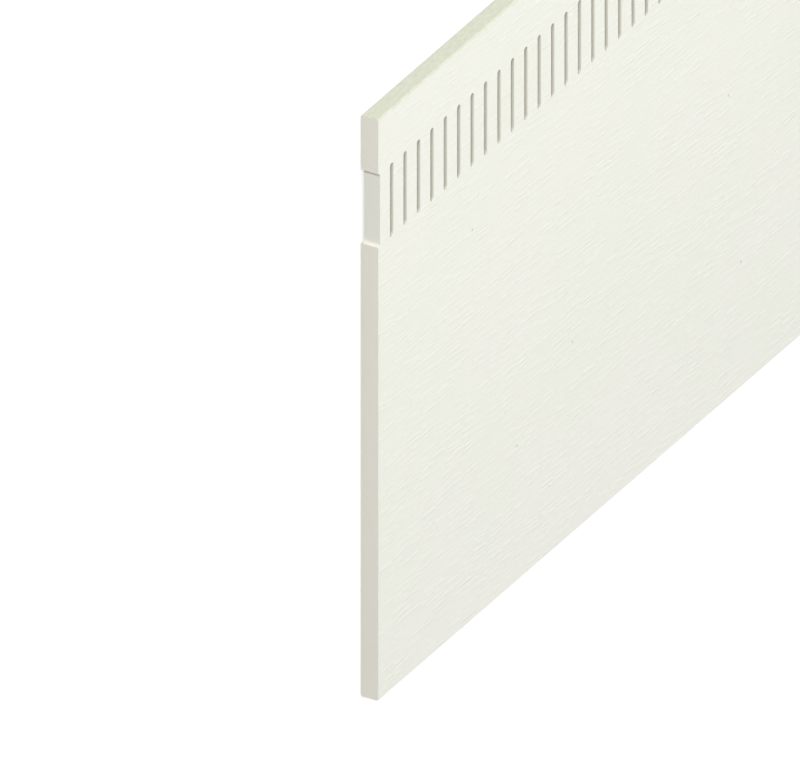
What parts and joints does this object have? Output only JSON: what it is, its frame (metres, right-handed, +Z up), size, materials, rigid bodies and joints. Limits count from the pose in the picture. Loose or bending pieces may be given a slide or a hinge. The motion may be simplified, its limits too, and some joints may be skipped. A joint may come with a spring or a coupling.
{
  "type": "vented soffit board",
  "caption": "Long flat white plastic plank with a wood-grain face, rounded front arrises and a row of narrow round-ended vent slots across it near one edge.",
  "frame": {"origin": "middle of the board's outline, on the level of its back face, on which it lies", "axes": "+X along the board, away from the end cut through a slot; +Y across it, towards the slotted edge; +Z up, out of the embossed face"},
  "size_m": [2.5, 0.3, 0.009],
  "materials": {
    "white_foamed_plastic": "satin white skin with fine wood-grain embossing"
  },
  "bodies": {
    "root": {"soffit_board": "white_foamed_plastic"}
  },
  "joints": []
}
